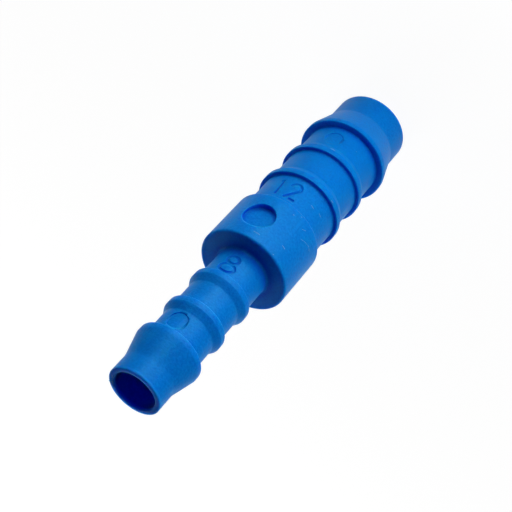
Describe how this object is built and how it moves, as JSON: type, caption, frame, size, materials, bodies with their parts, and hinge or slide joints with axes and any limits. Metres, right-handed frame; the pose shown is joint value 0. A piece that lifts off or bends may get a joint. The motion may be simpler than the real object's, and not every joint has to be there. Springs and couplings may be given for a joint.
{
  "type": "hose barb reducer",
  "caption": "Straight moulded hose reducer: a large barbed tail and a small one on one axis, joined by a plain round collar, with a stepped bore right through.",
  "frame": {"origin": "centre of the large mouth's end face, on the axis, where the part stands", "axes": "+Z along the axis from the large mouth to the small one, -Y through the round recess in the collar"},
  "size_m": [0.0144, 0.0144, 0.0644],
  "materials": {
    "blue_plastic": "injection-moulded, satin, with soft highlights"
  },
  "bodies": {
    "root": {"reducer_body": "blue_plastic"}
  },
  "joints": []
}
